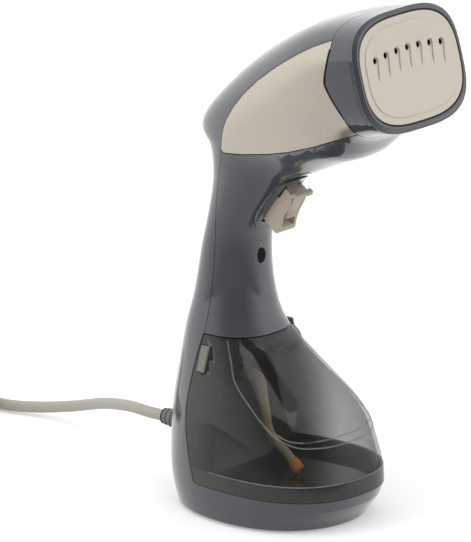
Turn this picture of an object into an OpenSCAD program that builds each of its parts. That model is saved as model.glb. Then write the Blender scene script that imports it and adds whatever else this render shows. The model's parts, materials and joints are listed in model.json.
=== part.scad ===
// Handheld garment steamer with a removable water tank.
// Origin: centre of the base on the floor. -Y is the front (steam plate), +Z is up.

/* [Base] */
// Width of the base across the steamer
base_w = 92; // [86:1:98]
// Length of the base, front to back
base_l = 122; // [118:1:128]
// Height of the base band under the tank
base_h = 19; // [17:0.5:22]
// Rounding of the base's bottom edge
base_edge = 2; // [1:0.5:4]
// Taper of the base band's front towards the floor
base_chin = 9; // [4:0.5:10]
// Taper of the base band's back towards the floor
base_taper = 3; // [1:0.5:4]
// Height of the rubber feet below the base
foot_proud = 0.8; // [0.5:0.1:1.5]
// Diameter of each rubber foot
foot_d = 12; // [8:0.5:14]
// Thickness of the base plate
base_plate_t = 2; // [1.6:0.1:2.4]
// Diameter of the casing screws
screw_d = 3; // [2.5:0.1:3.5]

/* [Casing] */
// Wall of the casing
wall = 2.2; // [1.8:0.1:2.6]
// Gap between casing pieces at a parting line
seam = 0.3; // [0.1:0.05:0.4]
// Width of the handle
handle_w = 38; // [36:0.5:40]
// Front of the handle at its waist, behind the centre
handle_front = 10.3; // [9:0.1:12]
// Back of the handle at its waist
handle_back = 45.4; // [44:0.1:47]
// Height of the handle's waist
handle_z = 144; // [140:1:148]
// Distance of the head's heel behind the centre
heel_y = 46; // [44:0.5:48]
// Height of the head's heel
heel_z = 213; // [211:0.5:215]
// Thickness of the champagne side panels
panel_t = 2; // [1.6:0.1:2.4]

/* [Head] */
// Distance of the steam plate's centre in front of the origin
plate_reach = 94.0; // [94:0.5:97]
// Height of the steam plate's centre
plate_z = 264.5; // [262:0.5:267]
// Lean of the steam plate from the vertical
plate_tilt = 16; // [14:0.5:18]
// Rim of the ring at each side of the steam plate
ring_rim_side = 4.3; // [2.5:0.1:5]
// Rim of the ring above and below the steam plate
ring_rim_end = 4; // [3.5:0.5:6]
// Depth of the front ring
ring_depth = 4; // [3:0.5:6]
// Squareness of the ring's outline
ring_square = 3.2; // [2.5:0.1:3.5]
// Drop of the ring's centre below the plate's centre
ring_drop = 0.5; // [0:0.5:2]
// Width of the steam plate
plate_w = 80.5; // [80:0.5:84]
// Height of the steam plate
plate_h = 57.5; // [55:0.5:59]
// Thickness of the steam plate
plate_t = 3; // [2.5:0.1:3.5]
// Squareness of the plate's and the ring's outline
plate_square = 3; // [2.6:0.1:3.4]
// Width of the flat border round the plate's raised middle
plate_border = 4; // [3:0.5:5]
// Height of the plate's raised middle
plate_step = 0.6; // [0.4:0.1:1]
// Width of the seal round the plate
seal_w = 0.9; // [0.4:0.1:1]
// Number of steam holes
hole_count = 7; // [5:2:7]
// Diameter of a steam hole
hole_d = 3.4; // [3:0.1:5]
// Distance between neighbouring steam holes
hole_pitch = 9.2; // [8:0.1:9.6]
// Radius of the arc that the steam holes lie on
hole_arc_r = 172; // [120:1:240]
// Height of the middle hole above the plate's centre
hole_rise = 11; // [9:0.5:12]
// Length of the dent below a steam hole
dent_l = 12; // [8:0.5:14]
// Depth of the dent below a steam hole
dent_depth = 0.8; // [0.5:0.1:1.2]

/* [Steam works] */
// Width of the steam chamber
chamber_w = 64; // [58:1:66]
// Height of the steam chamber
chamber_h = 42; // [38:1:44]
// Depth of the steam chamber
chamber_t = 13; // [12:0.5:15]
// Thickness of the chamber's lid
lid_t = 3; // [2.5:0.1:4]
// Diameter of the heating element
element_d = 6.5; // [5.5:0.1:7]
// Distance between the heating element's two legs
element_pitch = 26; // [22:1:30]
// Diameter of the thermostat
thermostat_d = 15; // [12:0.5:17]
// Diameter of the pump
pump_d = 19; // [17:0.5:20]
// Length of the pump
pump_l = 38; // [30:1:38]
// Diameter of the water tubes
tube_d = 5; // [4:0.1:5.5]

/* [Tank] */
// Height of the tank's top above the floor
tank_top = 99; // [96:1:104]
// Distance of the tank's back behind the centre, at the tank's top
tank_back_high = 29; // [28:0.5:30]
// Distance of the tank's back behind the centre, at the tank's foot
tank_back_low = 22; // [21:0.5:23]
// Bulge of the tank's back between its top and its foot
tank_back_bulge = 6; // [5:0.5:7]
// Wall of the tank
tank_wall = 2; // [1.6:0.1:2.4]
// Gap between the tank and the casing
tank_gap = 0.3; // [0.2:0.05:0.5]
// Height of the spout above the floor
spout_z = 72; // [70:0.5:74]
// Diameter of the spout
spout_d = 8; // [7:0.1:9]
// Diameter of the tank cap
cap_d = 14; // [13:0.5:15]
// Diameter of the suction tube's sleeve
sleeve_d = 7.6; // [7:0.1:8.5]
// Diameter of the suction tube's weight
weight_d = 6.4; // [5:0.1:8]
// Diameter of the filler stopper's plug
stopper_d = 11; // [9:0.5:12]
// Rim of the filler stopper round its plug
stopper_rim = 2; // [1.5:0.5:2.5]
// Length of the filler stopper's pull tab beyond its rim
stopper_tab = 3.5; // [3:0.5:7]
// Length of the release buttons, front to back
button_l = 6; // [6:0.5:8]
// Height of the release buttons
button_h = 14; // [12:0.5:15]
// Distance that the release buttons stand out
button_proud = 0.9; // [0.5:0.1:1.2]
// Travel of the release buttons
button_travel = 2; // [1:0.1:2.4]

/* [Trigger] */
// Width of the trigger
trigger_w = 14; // [13:0.5:14.5]
// Lean of the trigger
trigger_lean = 126.5; // [125:0.5:128]
// Height of the trigger's middle
trigger_z = 173; // [171:0.5:175]
// Distance of the trigger's root in front of the centre
trigger_y = 7; // [6.5:0.1:7.5]
// Gap round the trigger
trigger_gap = 0.6; // [0.4:0.1:0.8]
// Diameter of the trigger's pin
pin_d = 3; // [2.5:0.1:3.2]
// Radial play of the pin in its holes
pin_play = 0.05; // [0.02:0.01:0.1]
// Width of the steam lock slider
slider_w = 9.4; // [8:0.1:10]
// Gap on each side of the slider
slider_gap = 0.3; // [0.2:0.05:0.4]
// Travel of the steam lock slider
slider_travel = 4.5; // [3:0.5:5]
// Height of the raised bezel round the trigger
bezel_t = 1.5; // [1:0.1:2]
// Width of the indicator window
indicator_w = 6.5; // [5:0.5:8]
// Height of the indicator window
indicator_h = 8.5; // [7:0.5:10]

/* [Cord] */
// Diameter of the mains cord
cord_d = 6.4; // [6:0.1:7]
// Height of the cord's exit above the floor
cord_z = 36; // [34:0.5:37]
// Length of the strain relief outside the casing
relief_l = 20; // [18:0.5:22]
// Diameter of the strain relief at its free end
relief_d = 11.6; // [10:0.1:13]
// Diameter of the strain relief at the casing
relief_root_d = 14; // [13:0.5:16]
// Diameter of the coil across the middle of its turns
coil_d = 70; // [64:1:77]
// Turns side by side in the coil
coil_rows = 3; // [2:1:3]
// Diameter of a plug pin
plug_pin_d = 4.8; // [4:0.1:5]
// Length of the plug pins
plug_pin_l = 19; // [17:0.5:20]
// Distance between the plug pins
plug_pin_pitch = 19; // [18:0.5:20]

/* [Hidden] */
$fn = 48;

grey = [0.42, 0.43, 0.45];
dark_grey = [0.2, 0.2, 0.22];
champagne = [0.78, 0.74, 0.66];
cream = [0.8, 0.77, 0.71];
metal = [0.75, 0.75, 0.76];
smoke = [0.25, 0.25, 0.27, 0.6];
cord_grey = [0.69, 0.67, 0.63];

sides = 56;      // points round each ring of the body
fine = 3;        // rings between two rows of the body's outline
far = 200;       // half width of a cut through the whole body
fit = 0.05;      // play between fixed pieces
rest_gap = 0.2;  // play at a loose seat

function between(a, b, t) = a + (b - a) * t;
function unit(v) = v / norm(v);
function bulge(v, square) = sign(v) * pow(abs(v), 2 / square);

// Smooth curve through rows of numbers or points
function curve(a, b, c, d, t) =
    0.5 * (2 * b + (c - a) * t + (2 * a - 5 * b + 4 * c - d) * t * t + (3 * b - a - 3 * c + d) * t * t * t);
function smooth(rows, steps) = let (last = len(rows) - 1) concat(
    [for (i = [0:last - 1], k = [0:steps - 1])
        curve(rows[max(i - 1, 0)], rows[i], rows[i + 1], rows[min(i + 2, last)], k / steps)],
    [rows[last]]);

function superellipse(w, h, square, count) =
    [for (i = [0:count - 1]) let (a = 360 * i / count)
        [w / 2 * bulge(cos(a), square), h / 2 * bulge(sin(a), square)]];

// ---- Body outline: rows of front point, rear point, half width, squareness, taper to the rear ----
plate_up = [sin(plate_tilt), cos(plate_tilt)];
plate_out = [-cos(plate_tilt), sin(plate_tilt)];
ring_w = plate_w + 2 * ring_rim_side;
ring_h = plate_h + 2 * ring_rim_end;
plate_centre = [-plate_reach, plate_z];
collar_centre = plate_centre - ring_depth * plate_out - ring_drop * plate_up;
collar_foot = collar_centre - ring_h / 2 * plate_up;
collar_head = collar_centre + ring_h / 2 * plate_up;
crotch_y = -14;
crotch_z = heel_z - 26;
half_l = base_l / 2;
half_w = base_w / 2;
handle_half = handle_w / 2;

function tank_level(t) = between(base_h, tank_top, t);
edge_rows = [for (a = [0:30:60]) let (in = base_edge * (1 - sin(a)), z = foot_proud + base_edge * (1 - cos(a)))
    [-half_l + base_chin + in, z, half_l - base_taper - in, z, half_w - 0.5 - in, 2.15, 0.07]];
body_rows = [
    [-half_l + base_chin, foot_proud + base_edge, half_l - base_taper, foot_proud + base_edge, half_w - 0.5, 2.15, 0.07],
    [-half_l, base_h, half_l, base_h, half_w, 2.4, 0.07],
    [-half_l + 5, tank_level(0.27), half_l, tank_level(0.27), half_w - 0.5, 2.4, 0.07],
    [-half_l + 14.5, tank_level(0.5), half_l - 1, tank_level(0.5), half_w - 3.5, 2.4, 0.07],
    [-half_l + 36, tank_level(0.735), half_l - 3, tank_level(0.735), half_w - 11.5, 2.4, 0.06],
    [handle_front - 10, tank_top, handle_back + 9.3, tank_top, handle_half + 7.5, 2.4, 0.04],
    [handle_front - 2.2, handle_z - 25, handle_back + 4.6, handle_z - 25, handle_half + 2.2, 2.4, 0.02],
    [handle_front, handle_z, handle_back, handle_z, handle_half, 2.4, 0],
    [handle_front - 3.8, handle_z + 16, handle_back - 4.2, handle_z + 17, handle_half, 2.4, 0],
    [crotch_y, crotch_z, handle_back - 7.4, crotch_z - 3, handle_half + 1, 2.4, 0],
    [crotch_y - 13, crotch_z + 7, heel_y - 5.5, heel_z - 11, handle_half + 2, 2.4, 0],
    [crotch_y - 26, crotch_z + 13, heel_y, heel_z, handle_half + 5, 2.4, 0],
    [crotch_y - 39, crotch_z + 18.5, heel_y - 12, heel_z + 16.5, handle_half + 11, 2.5, 0],
    [crotch_y - 53, crotch_z + 24.5, heel_y - 46, heel_z + 46, between(handle_half, ring_w / 2, 0.7), 2.6, 0],
    [-plate_reach + 14, collar_foot[1] - 6.5, -plate_reach + 51, collar_head[1] - 10,
        between(handle_half, ring_w / 2, 0.9), 3, 0],
    [collar_foot[0], collar_foot[1], collar_head[0], collar_head[1], ring_w / 2, ring_square, 0]];
all_rows = concat(edge_rows, smooth(body_rows, fine));
neck_start = 3 + 5 * fine;    // first ring above the tank
head_start = 3 + 9 * fine;    // first ring of the head
last_ring = len(all_rows) - 1;

function ring(row, inset) =
    let (front = [0, row[0], row[1]], rear = [0, row[2], row[3]], half = norm(rear - front) / 2,
        along = unit(rear - front), mid = (front + rear) / 2)
    [for (i = [0:sides - 1]) let (a = 360 * i / sides, s = bulge(cos(a), row[5]))
        mid + (half - inset) * s * along
            + (row[4] - inset) * (1 - row[6] * s) * bulge(sin(a), row[5]) * [1, 0, 0]];

// Skin through a list of rings, closed at both ends
module skin(rings) {
    n = len(rings[0]);
    last = len(rings) - 1;
    polyhedron(points = [for (r = rings) each r], faces = concat(
        [[for (i = [n - 1:-1:0]) i]], [[for (i = [0:n - 1]) last * n + i]],
        [for (k = [0:last - 1], i = [0:n - 1]) let (a = k * n + i, b = k * n + (i + 1) % n)
            each [[a, b + n, a + n], [a, b, b + n]]]));
}

// Solid of the body from one ring to another, moved in by inset
module body(inset = 0, from = 0, to = last_ring)
    skin([for (i = [from:to]) ring(all_rows[i], inset)]);

// Hollow of the body, run out past both of its ends
module hollow(inset, from = 0, to = last_ring) {
    lip = [0, -1, 0, -1, 0, 0, 0];
    out = [plate_out[0], plate_out[1], plate_out[0], plate_out[1], 0, 0, 0];
    skin(concat(from == 0 ? [ring(all_rows[0] + lip, inset)] : [], [for (i = [from:to]) ring(all_rows[i], inset)],
        to == last_ring ? [ring(all_rows[to] + out, inset)] : []));
}

// Cut through the whole body of an outline drawn in the side view
module side_cut(outline, grow = 0)
    rotate([90, 0, 90]) translate([0, 0, -far]) linear_extrude(2 * far) offset(delta = grow) polygon(outline);

// ---- Parting lines in the side view ----
collar_l = 24;
function behind_collar(points) = [for (p = points) [p[0] + collar_l - plate_reach, p[1]]];
collar_edge = behind_collar([[-0.6, 283], [-1.8, 278.6], [-1.3, 272], [0, 264], [0.2, 259.5], [-2.8, 254.5],
    [-10, 245], [-13.2, 237.7], [-13.4, 231.8]]);
collar_under = behind_collar([[-12.7, 226.5], [-8, 220], [-6, 214], [-6, 200]]);
collar_region = concat(behind_collar([[0, 300], [0.2, 286]]), collar_edge, collar_under,
    [[-far, 200], [-far, 300]]);
panel_bottom = [[-67.8, 225.7], [-54.7, 220.3], [-32.6, 212.4], [-15.3, 207.6], [4.8, 203.4], [18, 201.4],
    [20.8, 201.4]];
panel_tip = [22, 203];
panel_top = [[18.4, 211.9], [12.6, 222.2], [5.8, 231.2], [-3.3, 240.8], [-14.4, 250.2], [-29.4, 260.8],
    [-44.2, 269.8], [-57.6, 277.3]];
panel_region = concat(collar_edge, panel_bottom, [panel_tip], panel_top);
front_region = concat([[tank_back_high, tank_top], [26.9, 173.2], [25.1, 189], panel_tip],
    [for (i = [len(panel_bottom) - 1:-1:0]) panel_bottom[i]],
    [collar_edge[len(collar_edge) - 1]], collar_under, [[-far, 190], [-far, tank_top]]);
function tank_back(z) = let (t = (z - base_h) / (tank_top - base_h))
    between(tank_back_low, tank_back_high, t) + 4 * tank_back_bulge * t * (1 - t);
function back_line(grow) = [for (k = [0:8]) let (z = between(base_h, tank_top, k / 8)) [tank_back(z) + grow, z]];
spout_y = tank_back(spout_z);
bay_region = concat([[-far, base_h]], back_line(0), [[-far, tank_top]]);
bay_lining = concat([[-far, base_h - wall], [far, base_h - wall], [far, base_h]], back_line(wall),
    [for (k = [8:-1:0]) back_line(0)[k]], [[-far, base_h]]);
roof_lining = [[-far, tank_top], [tank_back_high, tank_top], [tank_back_high, tank_top + wall],
    [-far, tank_top + wall]];

// ---- Frames ----
module head_frame() translate([0, -plate_reach, plate_z]) rotate([90 - plate_tilt, 0, 0]) children();
module trigger_frame() translate([0, -trigger_y, trigger_z]) rotate([trigger_lean, 0, 0]) children();
module profile_x(outline, width) rotate([90, 0, 90]) linear_extrude(width, center = true) polygon(outline);
module along_x(l, d) rotate([0, 90, 0]) cylinder(h = l, d = d, center = true);
module along_y(y0, y1, d0, d1) translate([0, y0, 0]) rotate([-90, 0, 0]) cylinder(h = y1 - y0, d1 = d0, d2 = d1);
module block(x, y, z) translate([x[0], y[0], z[0]]) cube([x[1] - x[0], y[1] - y[0], z[1] - z[0]]);

// ---- Round bars swept along points ----
function sweep_ring(p, dir, r, n, ref) = let (u = unit(cross(dir, ref)), v = cross(u, dir))
    [for (i = [0:n - 1]) p + r * (cos(360 * i / n) * u + sin(360 * i / n) * v)];
module sweep(points, radii, n, ref) {
    last = len(points) - 1;
    rings = [for (i = [0:last]) each sweep_ring(points[i],
        unit(points[min(i + 1, last)] - points[max(i - 1, 0)]), radii[i], n, ref)];
    polyhedron(points = rings, faces = concat(
        [[for (i = [0:n - 1]) n - 1 - i]], [[for (i = [0:n - 1]) last * n + i]],
        [for (k = [0:last - 1], i = [0:n - 1])
            [k * n + i, k * n + (i + 1) % n, (k + 1) * n + (i + 1) % n, (k + 1) * n + i]]));
}
module tube(route, d, steps, ref, n = 8) {
    points = smooth(route, steps);
    sweep(points, [for (p = points) d / 2], n, ref);
}
// Coil spring along +Z
module spring(l, d, wire, turns) {
    count = turns * 10;
    sweep([for (i = [0:count]) let (a = 36 * i)
        [(d - wire) / 2 * cos(a), (d - wire) / 2 * sin(a), between(wire / 2, l - wire / 2, i / count)]],
        [for (i = [0:count]) wire / 2], 6, [0, 0, 1]);
}

// ---- Casing ----
gland_hole_d = relief_root_d + 2 * fit;
socket_d = 14;
post_x = [6, 11];
post_a = [17, -13];
post_d = 5;
bracket_b = -15;

module rear_cover() color(grey) difference() {
    body();
    difference() {
        hollow(wall);
        side_cut(bay_lining);
        for (p = screw_places) translate([p[0], p[1], base_plate_top + rest_gap])
            cylinder(h = base_h - wall / 2 - base_plate_top, d = screw_d + 4, $fn = 20);
    }
    side_cut(bay_region);
    side_cut(front_region, fit);
    side_cut(panel_region, fit);
    side_cut(collar_region, fit);
    translate([0, 0, spout_z]) along_y(spout_y - 2, spout_y + wall + 2, socket_d + 2 * fit, socket_d + 2 * fit);
    translate([0, 0, cord_z]) along_y(half_l - 8, half_l + 8, gland_hole_d, gland_hole_d);
    for (p = screw_places) translate([p[0], p[1], -1]) cylinder(h = boss_top, d = screw_d + 4 * fit, $fn = 20);
}

module front_casing() color(grey) difference() {
    intersection() {
        difference() {
            body(0, neck_start - 1);
            difference() {
                hollow(wall, neck_start - 1);
                side_cut(roof_lining);
                trigger_frame() for (x = [-1, 1], k = [0, 1])
                    translate([x * post_x[k], post_a[k], bracket_b]) cylinder(h = 20, d = post_d, $fn = 16);
            }
        }
        side_cut(front_region, -seam);
    }
    trigger_frame() block([-trigger_w / 2 - trigger_gap, trigger_w / 2 + trigger_gap], [-15, 14], [-12, 20]);
    translate([0, 0, handle_z - 3]) indicator_hole(indicator_w + 2 * fit, indicator_h + 2 * fit);
}

module indicator_hole(w, h) rotate([90, 0, 0]) linear_extrude(40, center = true) scale([w / h, 1]) circle(d = h);

module side_panel(side) color(champagne) intersection() {
    difference() {
        body(0, head_start);
        hollow(panel_t, head_start);
    }
    side_cut(panel_region, -seam);
    block([min(0, side * far), max(0, side * far)], [-far, far], [0, 2 * far]);
}
module side_panel_right() side_panel(-1);
module side_panel_left() side_panel(1);

module head_collar() color(grey) intersection() {
    difference() {
        body(0, head_start);
        difference() {
            hollow(wall, head_start);
            head_frame() translate([0, 0, -ring_depth - 6]) linear_extrude(2) difference() {
                square([ring_w, ring_h], center = true);
                polygon(superellipse(chamber_w + 2 * rest_gap, chamber_h + 2 * rest_gap, plate_square, sides));
            }
        }
    }
    side_cut(collar_region, -seam);
}

// ---- Steam head, drawn in the plate's own frame ----
ring_in_w = plate_w + 2 * seal_w + 4 * fit;
ring_in_h = plate_h + 2 * seal_w + 4 * fit;
module plate_outline(grow) polygon(superellipse(plate_w + grow, plate_h + grow, plate_square, 64));
module front_ring() color(grey) head_frame() difference() {
    for (k = [0:3]) translate([0, -ring_drop * (1 - k / 3), -ring_depth + fit])
        linear_extrude(ring_depth - 1.5 + k * 0.5)
            polygon(superellipse(ring_w - 1.5 * k, ring_h - 1.2 * k, ring_square, 64));
    translate([0, 0, -ring_depth - 1]) linear_extrude(ring_depth + 3)
        polygon(superellipse(ring_in_w, ring_in_h, plate_square, 64));
}
module plate_seal() color(dark_grey) head_frame() translate([0, 0, -plate_t]) linear_extrude(plate_t - 0.6) difference() {
    plate_outline(2 * seal_w + 2 * fit);
    plate_outline(2 * fit);
}
function hole_x(i) = (i - (hole_count - 1) / 2) * hole_pitch;
function hole_y(i) = hole_rise - (hole_arc_r - sqrt(hole_arc_r * hole_arc_r - hole_x(i) * hole_x(i)));
module steam_plate() color(cream) head_frame() difference() {
    union() {
        translate([0, 0, -plate_t]) linear_extrude(plate_t) plate_outline(0);
        linear_extrude(plate_step) plate_outline(-2 * plate_border);
    }
    for (i = [0:hole_count - 1]) translate([hole_x(i), hole_y(i), 0]) {
        translate([0, 0, -plate_t - 1]) cylinder(h = plate_t + 3, d = hole_d);
        translate([0, 0, plate_step - dent_depth]) {
            cylinder(h = dent_depth + 1, d = hole_d + 1);
            linear_extrude(dent_depth + 1) polygon([[-hole_d / 2 - 0.4, -0.8], [0, -dent_l], [hole_d / 2 + 0.4, -0.8]]);
        }
    }
}
chamber_z = -plate_t - fit;
module chamber_outline(grow) polygon(superellipse(chamber_w + grow, chamber_h + grow, plate_square, 64));
module element_shape(d) {
    for (y = [-1, 1]) translate([-4, y * element_pitch / 2, 0]) rotate([0, 90, 0]) cylinder(h = 22, d = d);
    translate([-4, 0, 0]) rotate([0, 0, 90]) rotate_extrude(angle = 180) translate([element_pitch / 2, 0]) circle(d = d);
}
element_z = chamber_z - chamber_t + element_d / 2 + 0.5;
module steam_chamber() color(metal) head_frame() difference() {
    translate([0, 0, chamber_z - chamber_t]) linear_extrude(chamber_t) chamber_outline(0);
    translate([0, 0, element_z]) element_shape(element_d + 4 * fit);
    translate([0, 0, chamber_z - 2.5]) linear_extrude(3) chamber_outline(-8);
}
lid_z = chamber_z - chamber_t - fit;
module chamber_lid() color(metal) head_frame() {
    translate([0, 0, lid_z - lid_t]) linear_extrude(lid_t) chamber_outline(-2);
    translate([0, 12, lid_z - lid_t - 5]) cylinder(h = 5.5, d = 8);
}
module heating_element() color(dark_grey) head_frame() translate([0, 0, element_z]) element_shape(element_d);
part_z = lid_z - lid_t - fit;
module thermostat() color(metal) head_frame() translate([-14, -4, part_z - 6]) {
    cylinder(h = 6, d = thermostat_d);
    translate([0, 0, -3]) cylinder(h = 3.5, d = thermostat_d - 5);
    for (x = [-1, 1]) block([x * 4 - 1.5, x * 4 + 1.5], [-0.4, 0.4], [-8, 0]);
}
module thermal_fuse() color(cream) head_frame() translate([12, -8, part_z - 2.5]) {
    along_x(12, 5);
    along_x(20, 1.5);
}

// ---- Pump and tubes in the column behind the tank ----
pump_y = 33.4;
pump_z = tank_top + 6;
module steam_pump() color([0.85, 0.85, 0.82]) translate([0, pump_y, pump_z]) {
    cylinder(h = pump_l, d = pump_d);
    translate([0, 0, -4]) cylinder(h = 5, d = tube_d);
    translate([0, 0, pump_l - 1]) cylinder(h = 5, d = tube_d);
}
bracket_z = tank_top + 22;
module pump_bracket() color(dark_grey) difference() {
    intersection() {
        translate([0, pump_y, bracket_z]) union() {
            cylinder(h = 8, d = pump_d + 4);
            block([-7, 7], [0, far], [0, 8]);
        }
        body(wall + fit, neck_start, neck_start + 2 * fine);
    }
    translate([0, pump_y, bracket_z - 1]) cylinder(h = 10, d = pump_d + 2 * fit);
}
socket_back = spout_y + 9.5;
module pump_inlet_tube() color(cream) tube([[0, socket_back - 3.5, spout_z + socket_d / 2 + fit],
    [0, socket_back - 3.3, tank_top - 14], [0, socket_back - 4.1, tank_top - 7], [0, pump_y + 1.2, tank_top - 1],
    [0, pump_y, pump_z - 4 - fit]], tube_d - 0.4, 4, [1, 0, 0]);
nozzle = plate_centre + 12 * plate_up + (lid_z - lid_t - 5 - fit) * plate_out;
module pump_outlet_tube() color(cream) tube([[0, pump_y, pump_z + pump_l + 4 + fit],
    [0, pump_y, pump_z + pump_l + 9], [0, 31, 164], [0, 27, 182], [0, 18, 204], [0, -6, 228], [0, -35, 248],
    [0, nozzle[0] - 8 * plate_out[0], nozzle[1] - 8 * plate_out[1]], [0, nozzle[0], nozzle[1]]],
    tube_d - 0.4, 3, [1, 0, 0]);
module tank_socket() color(dark_grey) translate([0, 0, spout_z]) difference() {
    union() {
        along_y(spout_y + 1, socket_back, socket_d, socket_d);
        along_y(spout_y + wall + rest_gap, spout_y + wall + 2, socket_d + 4, socket_d + 4);
    }
    along_y(spout_y - 1, socket_back - 2, spout_d + 2 * rest_gap, spout_d + 2 * rest_gap);
}

// ---- Trigger and switch, drawn in the trigger's own frame (Y up the handle, Z out of it) ----
pivot_a = 9.5;
pivot_b = -5.5;
hub_w = 9;
trigger_profile = [[-12.6, -5], [-12.8, 0.5], [-13.2, 7.4], [-12.4, 8.6], [-10.4, 8.8], [-6, 6.8], [0, 5.4], [6, 4.8],
    [11.8, 3.4], [12.2, 0], [11.8, -3], [6, -5]];
module trigger() color(champagne) trigger_frame() difference() {
    union() {
        profile_x(trigger_profile, trigger_w);
        translate([0, pivot_a, pivot_b]) along_x(hub_w, 7);
        profile_x([[9.8, 2.8], [11.4, 4.8], [12.4, 6.6], [14.6, 6], [14.6, 3.4], [13, 3], [13, 2.8]], trigger_w);
    }
    block([-slider_w / 2 - slider_gap, slider_w / 2 + slider_gap], [-4.4 - slider_travel, 11.4 + slider_gap], [2.6, 12]);
    for (s = [-1, 1]) block([min(s * hub_w / 2, s * 9), max(s * hub_w / 2, s * 9)], [4.5, 14], [-12, -2.2]);
    translate([0, pivot_a, pivot_b]) along_x(trigger_w + 2, pin_d + 2 * pin_play);
}
slider_floor = 2.6 + slider_gap;
module steam_lock() color(champagne) trigger_frame() {
    profile_x([[-3.2, slider_floor], [-3.4, 6.6], [-2.7, 7.6], [-1.4, 7.4], [0.2, 5.5], [11.4, 4.4], [11.4, slider_floor]], slider_w);
}
module trigger_pin() color(metal) trigger_frame() translate([0, pivot_a, pivot_b]) along_x(hub_w + 5.6, pin_d);
ear_x = hub_w / 2 + 0.4;
ear_t = 2.2;
plate_b = bracket_b - 2;
module trigger_bracket() color(dark_grey) trigger_frame() difference() {
    union() {
        block([-14, 14], [-17, 20], [plate_b, bracket_b - fit]);
        for (s = [-1, 1]) block([min(s * ear_x, s * (ear_x + ear_t)), max(s * ear_x, s * (ear_x + ear_t))],
            [pivot_a - 4, pivot_a + 4], [bracket_b - 1, pivot_b + 2.6]);
    }
    translate([0, pivot_a, pivot_b]) along_x(trigger_w + 8, pin_d + 2 * pin_play);
}
switch_a = -3.5;
switch_top = -9;
module microswitch() color(dark_grey) trigger_frame() difference() {
    block([-3.2, 3.2], [switch_a - 3.6, switch_a + 10.4], [bracket_b, switch_top]);
    translate([0, switch_a, bracket_b + 1]) cylinder(h = 10, d = 2.4 + 2 * fit);
}
module switch_plunger() color(cream) trigger_frame() translate([0, switch_a, -5 - rest_gap - 6.5]) cylinder(h = 6.5, d = 2.4);
spring_d = 4.6;
module trigger_spring() color(metal) trigger_frame() translate([0, -12.6 + spring_d / 2 + 0.4, bracket_b + fit])
    spring(-5 - bracket_b - 2 * fit, spring_d, 0.8, 5);
module trigger_bezel() color(dark_grey) intersection() {
    difference() {
        body(-bezel_t, neck_start + fine + 1, head_start + fine + 1);
        body(-fit, neck_start + fine, head_start + fine + 2);
    }
    trigger_frame() translate([0, 0, -12]) linear_extrude(30) difference() {
        translate([0, -1]) polygon(superellipse(trigger_w + 11, 42, 3, 40));
        translate([-trigger_w / 2 - trigger_gap, -15]) square([trigger_w + 2 * trigger_gap, 29]);
    }
}
lens_z = handle_z - 3;
board_y = handle_front + 7;
module indicator_lens() color("black") translate([0, 0, lens_z]) intersection() {
    indicator_hole(indicator_w, indicator_h);
    block([-10, 10], [handle_front - 0.2, board_y - rest_gap], [-10, 10]);
}
module indicator_board() color([0.1, 0.4, 0.2]) block([-8, 8], [board_y, board_y + 1.6], [lens_z - 9, lens_z + 8]);

// ---- Base ----
base_plate_low = foot_proud + 0.4;
base_plate_top = base_plate_low + base_plate_t;
screw_places = [[-31, -16], [31, -16], [-31, 24], [31, 24]];
foot_places = [[0, 0], [-18, -34], [18, -34], [-20, 38], [20, 38]];
boss_top = base_h - wall - 1;
foot_in = 1;
module base_plate() color(dark_grey) difference() {
    translate([0, 0, base_plate_low]) linear_extrude(base_plate_t)
        polygon([for (p = ring(all_rows[0], wall + rest_gap)) [p[0], p[1]]]);
    for (p = screw_places) translate([p[0], p[1], 0]) {
        cylinder(h = base_plate_top + 1, d = screw_d + 4 * fit);
        cylinder(h = base_plate_low + 1.2, d = screw_d * 2 + 4 * fit);
    }
    for (p = foot_places) translate([p[0], p[1], 0]) cylinder(h = base_plate_low + foot_in, d = foot_d + 4 * fit);
}
module rubber_feet() color(dark_grey) for (p = foot_places) translate([p[0], p[1], 0])
    cylinder(h = base_plate_low + foot_in - fit, d = foot_d);
module casing_screws() color(metal) for (p = screw_places) translate([p[0], p[1], 0]) {
    translate([0, 0, base_plate_low]) cylinder(h = 1.1, d = screw_d * 2);
    translate([0, 0, base_plate_low + 1]) cylinder(h = boss_top - base_plate_low - 4, d = screw_d);
}

// ---- Water tank ----
tank_region = concat([[-far, base_h + tank_gap], [tank_back_low - tank_gap, base_h + tank_gap]],
    [for (k = [1:7]) back_line(-tank_gap)[k]],
    [[tank_back_high - tank_gap, tank_top - tank_gap], [-far, tank_top - tank_gap]]);
tank_end = 3 + 5 * fine + 1;
cap_hole_d = cap_d + 3;
button_z = tank_level(0.84);
button_y = tank_back(button_z - button_h / 2) - tank_gap - 2.8 - button_l / 2;
stopper_lean = 17;
stopper_y = 15;
stopper_z = tank_level(0.86);
stopper_x = between(half_w - 11.5, handle_half + 7.5, 0.55) - 1.2;
button_back = half_w - 18;
pocket_back = button_back - button_travel - 2.5;
module tank_shell() color(smoke) difference() {
    intersection() {
        body(0, 2, tank_end);
        side_cut(tank_region);
    }
    difference() {
        intersection() {
            body(tank_wall, 2, tank_end);
            side_cut(tank_region, -tank_wall);
        }
        stopper_frame() translate([0, 0, -tank_wall]) cylinder(h = 8, d = stopper_d + 2 * stopper_rim + 2);
        for (s = [-1, 1]) button_block(s, pocket_back - tank_wall, button_l + 2 * tank_wall + 4,
            button_h + 2 * tank_wall);
    }
    for (s = [-1, 1]) button_block(s, pocket_back, button_l + 2 * slider_gap, button_h + 2 * slider_gap);
    translate([0, 0, spout_z]) along_y(spout_y - 10, spout_y + 2, cap_hole_d, cap_hole_d);
    stopper_frame() {
        translate([0, 0, -12]) cylinder(h = 20, d = stopper_d);
        translate([0, 0, 0]) cylinder(h = 8, d = stopper_d + 2 * stopper_rim + 2 * rest_gap);
    }
}
module stopper_frame() translate([stopper_x, stopper_y, stopper_z]) rotate([0, 90 - stopper_lean, 0]) children();
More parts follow.
